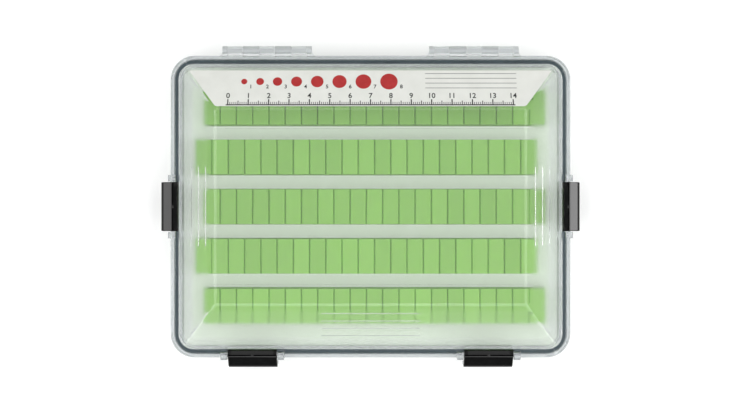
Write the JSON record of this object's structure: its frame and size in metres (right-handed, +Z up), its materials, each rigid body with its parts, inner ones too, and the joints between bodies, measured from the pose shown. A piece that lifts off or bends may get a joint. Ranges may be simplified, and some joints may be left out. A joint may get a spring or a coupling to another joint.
{
  "type": "tackle box",
  "caption": "Shallow clear tackle box with a bevelled hinged lid, a seal ring, black snap latches and soft slotted strips that hold jigs by their hooks.",
  "frame": {"origin": "centre of the tray's underside, which is also the bottom centre of the whole box with its latches and hinges", "axes": "+X to the right along the long side, +Y to the rear hinges, +Z up; two latches face -Y, one faces -X and one +X"},
  "size_m": [0.21, 0.161, 0.035],
  "materials": {
    "clear_tray": "clear, slightly milky moulded plastic",
    "clear_lid": "clear polished moulded plastic",
    "seal_rubber": "dark blue-grey seal rubber",
    "strip_rubber": "soft matt green rubber",
    "latch_plastic": "black satin moulded plastic",
    "pin_steel": "drawn steel wire",
    "pin_clear": "clear moulded plastic rod",
    "label_paper": "coated paper sticker"
  },
  "bodies": {
    "tray": {"base_tray": "clear_tray", "lid_gasket": "seal_rubber", "slot_strip_1": "strip_rubber", "slot_strip_2": "strip_rubber", "slot_strip_3": "strip_rubber", "slot_strip_4": "strip_rubber", "slot_strip_5": "strip_rubber", "hinge_pin_left": "pin_clear", "hinge_pin_right": "pin_clear"},
    "lid": {"lid": "clear_lid", "label": "label_paper", "latch_pin_left": "pin_steel", "latch_pin_right": "pin_steel", "latch_pin_front_left": "pin_steel", "latch_pin_front_right": "pin_steel"},
    "latch_left": {"latch_left": "latch_plastic"},
    "latch_right": {"latch_right": "latch_plastic"},
    "latch_front_left": {"latch_front_left": "latch_plastic"},
    "latch_front_right": {"latch_front_right": "latch_plastic"}
  },
  "joints": [
    {"name": "lid_hinge", "type": "hinge", "parent": "tray", "child": "lid", "pos_m": [0, 0.0782, 0.0211], "axis": [-1, 0, 0], "range_deg": [0, 180]},
    {"name": "latch_left_swing", "type": "hinge", "parent": "lid", "child": "latch_left", "pos_m": [-0.0976, 0, 0.0257], "axis": [0, 1, 0], "range_deg": [0, 100]},
    {"name": "latch_right_swing", "type": "hinge", "parent": "lid", "child": "latch_right", "pos_m": [0.0976, 0, 0.0257], "axis": [0, -1, 0], "range_deg": [0, 100]},
    {"name": "latch_front_left_swing", "type": "hinge", "parent": "lid", "child": "latch_front_left", "pos_m": [-0.0588, -0.0731, 0.0257], "axis": [-1, 0, 0], "range_deg": [0, 100]},
    {"name": "latch_front_right_swing", "type": "hinge", "parent": "lid", "child": "latch_front_right", "pos_m": [0.0588, -0.0731, 0.0257], "axis": [-1, 0, 0], "range_deg": [0, 100]}
  ]
}
